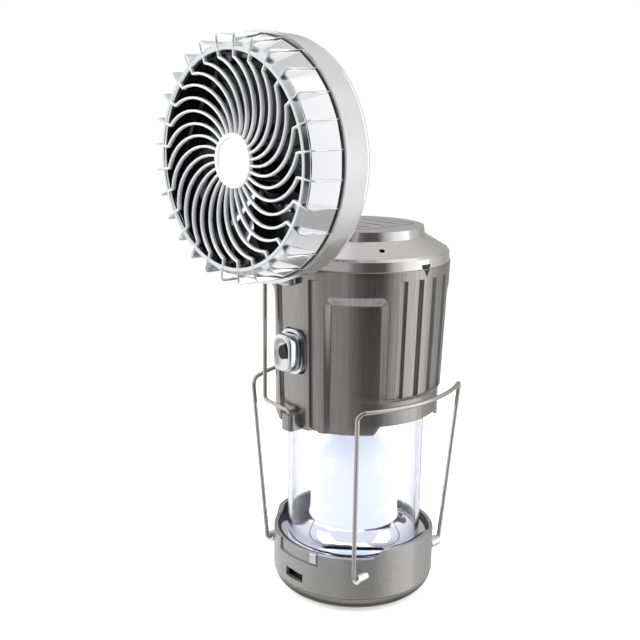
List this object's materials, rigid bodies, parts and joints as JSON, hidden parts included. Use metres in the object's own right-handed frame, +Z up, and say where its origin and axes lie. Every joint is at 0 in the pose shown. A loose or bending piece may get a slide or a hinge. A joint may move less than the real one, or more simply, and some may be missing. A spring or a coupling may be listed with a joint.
{
  "type": "camping fan",
  "caption": "Telescoping camping lantern with a round fan head hinged on its top, wire loops at the base, a swing handle and a push button.",
  "frame": {"origin": "centre of the base's underside, on the surface it stands on", "axes": "+Z up along the lantern's axis; the fan, the power button and the USB port face -Y; the wire loops hinge on the -X and +X sides"},
  "size_m": [0.1072, 0.1264, 0.2725],
  "materials": {
    "gunmetal_paint": "vertical brushed metallic paint on ABS",
    "cap_paint": "bright satin metallic paint on ABS",
    "fan_silver": "satin silver paint on ABS",
    "black_plastic": "black moulded plastic",
    "impeller_black": "gloss black",
    "chrome_plate": "bright chrome plate",
    "reflector_plate": "vacuum metallised",
    "steel_wire": "nickel plated wire",
    "clear_pc": "clear polycarbonate",
    "frosted_pc": "frosted white",
    "led_yellow": "phosphor chip",
    "board_green": "solder mask",
    "cell_wrap": "shrink wrap",
    "motor_steel": "plated can",
    "hub_white": "gloss white",
    "foot_rubber": "matt"
  },
  "bodies": {
    "base": {"base_cover": "gunmetal_paint", "foot_pad": "foot_rubber", "base_shell": "gunmetal_paint", "pivot_bosses_left": "fan_silver", "pivot_bosses_right": "fan_silver", "rim_collar": "black_plastic", "latch_clip": "chrome_plate", "usb_socket": "black_plastic", "usb_tongue": "hub_white", "charge_board": "board_green", "battery": "cell_wrap", "reflector": "reflector_plate", "clear_tube": "clear_pc", "diffuser": "frosted_pc", "led_column": "board_green", "led_chips": "led_yellow"},
    "housing": {"upper_housing": "gunmetal_paint", "slide_sleeve": "black_plastic", "bulkhead": "black_plastic", "cap_cone": "cap_paint", "top_disc": "gunmetal_paint", "hinge_ear_left": "gunmetal_paint", "hinge_ear_right": "gunmetal_paint", "hinge_pin": "steel_wire", "button_bezel": "chrome_plate", "handle_lug_lower": "gunmetal_paint", "handle_lug_upper": "gunmetal_paint"},
    "button": {"button_cap": "chrome_plate", "button_insert": "black_plastic"},
    "handle": {"side_handle": "steel_wire"},
    "loop_left": {"wire_loop_left": "steel_wire"},
    "loop_right": {"wire_loop_right": "steel_wire"},
    "fan_head": {"fan_rear_shell": "fan_silver", "rear_grille": "black_plastic", "fan_drum": "fan_silver", "fan_duct": "impeller_black", "front_grille": "fan_silver", "hub_cap": "hub_white", "fan_knuckle": "fan_silver", "motor_mount": "black_plastic", "motor": "motor_steel"},
    "rotor": {"impeller": "impeller_black", "motor_shaft": "motor_steel"}
  },
  "joints": [
    {"name": "housing_slide", "type": "slide", "parent": "base", "child": "housing", "axis": [0, 0, -1], "range_m": [0, 0.0622]},
    {"name": "fan_fold", "type": "hinge", "parent": "housing", "child": "fan_head", "pos_m": [0, -0.044, 0.1808], "axis": [-1, 0, 0], "range_deg": [0, 90]},
    {"name": "impeller_spin", "type": "hinge", "parent": "fan_head", "child": "rotor", "pos_m": [0, -0.06, 0.2189], "axis": [0, -1, 0], "continuous": true},
    {"name": "button_press", "type": "slide", "parent": "housing", "child": "button", "axis": [0, 1, 0], "range_m": [0, 0.0018], "stiffness_N_per_m": 400},
    {"name": "handle_swing", "type": "hinge", "parent": "housing", "child": "handle", "pos_m": [0, -0.046, 0.131], "axis": [0, 0, 1], "range_deg": [0, 155]},
    {"name": "loop_left_swing", "type": "hinge", "parent": "base", "child": "loop_left", "pos_m": [-0.031, 0, 0.0205], "axis": [0, -1, 0], "range_deg": [0, 85]},
    {"name": "loop_right_swing", "type": "hinge", "parent": "base", "child": "loop_right", "pos_m": [0.031, 0, 0.0205], "axis": [0, 1, 0], "range_deg": [0, 85]}
  ]
}
